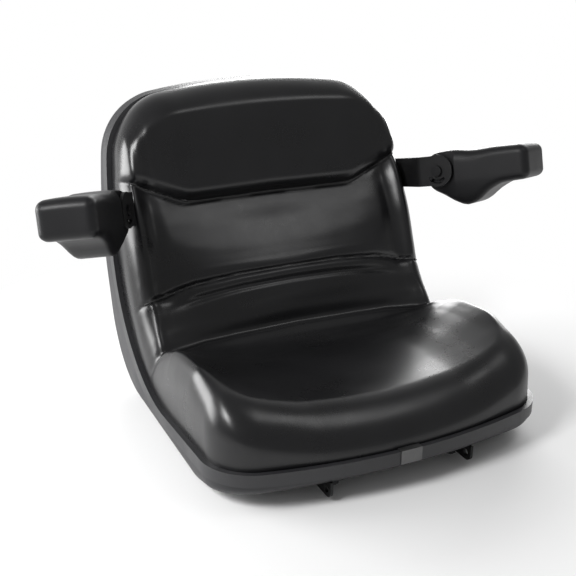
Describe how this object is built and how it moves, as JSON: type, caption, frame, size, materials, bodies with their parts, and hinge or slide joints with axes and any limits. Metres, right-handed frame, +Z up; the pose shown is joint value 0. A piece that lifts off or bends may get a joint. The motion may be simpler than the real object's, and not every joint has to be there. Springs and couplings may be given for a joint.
{
  "type": "tractor seat",
  "caption": "High-back garden tractor seat: one-piece moulded vinyl cushion in a pressed steel pan with an edge trim, front pivot lugs and armrests that flip up.",
  "frame": {"origin": "middle of the pivot axis through the bores of the two front lugs", "axes": "+X along the pivot axis, to the right of someone who faces the seat; +Y to the back of the seat; +Z up"},
  "size_m": [0.8134, 0.6359, 0.4683],
  "materials": {
    "pan_paint": "satin black paint",
    "trim_vinyl": "dark grey extruded vinyl",
    "clip_steel": "bright rolled steel",
    "seat_vinyl": "black satin vinyl skin",
    "zinc_steel": "zinc plate",
    "bracket_paint": "black powder coat",
    "bush_nylon": "natural nylon",
    "cap_plastic": "black moulded plastic",
    "pad_skin": "black integral-skin foam"
  },
  "bodies": {
    "seat": {"seat_pan": "pan_paint", "edge_trim": "trim_vinyl", "trim_clip": "clip_steel", "cushion": "seat_vinyl", "rail_nuts": "zinc_steel", "lug_bolts": "zinc_steel", "lug_washers": "zinc_steel", "lug_nuts": "zinc_steel", "strap_bolts": "zinc_steel", "strap_washers": "zinc_steel", "strap_nuts": "zinc_steel", "right_pivot_bracket": "bracket_paint", "right_arm_bracket": "bracket_paint", "right_pivot_bolt": "zinc_steel", "right_inner_washer": "zinc_steel", "right_outer_washer": "zinc_steel", "right_pivot_nut": "zinc_steel", "left_pivot_bracket": "bracket_paint", "left_arm_bracket": "bracket_paint", "left_pivot_bolt": "zinc_steel", "left_inner_washer": "zinc_steel", "left_outer_washer": "zinc_steel", "left_pivot_nut": "zinc_steel"},
    "right_arm": {"right_pivot_bush": "bush_nylon", "right_pivot_cap": "cap_plastic", "right_stop_pin": "zinc_steel", "right_pad_core": "zinc_steel", "right_arm_pad": "pad_skin"},
    "left_arm": {"left_pivot_bush": "bush_nylon", "left_pivot_cap": "cap_plastic", "left_stop_pin": "zinc_steel", "left_pad_core": "zinc_steel", "left_arm_pad": "pad_skin"}
  },
  "joints": [
    {"name": "right_arm_hinge", "type": "hinge", "parent": "seat", "child": "right_arm", "pos_m": [0.2675, 0.35019, 0.31179], "axis": [-0.8526, -0.5045, 0.1361], "range_deg": [0, 80]},
    {"name": "left_arm_hinge", "type": "hinge", "parent": "seat", "child": "left_arm", "pos_m": [-0.2675, 0.35019, 0.31179], "axis": [-0.8526, 0.5045, -0.1361], "range_deg": [0, 80]}
  ]
}
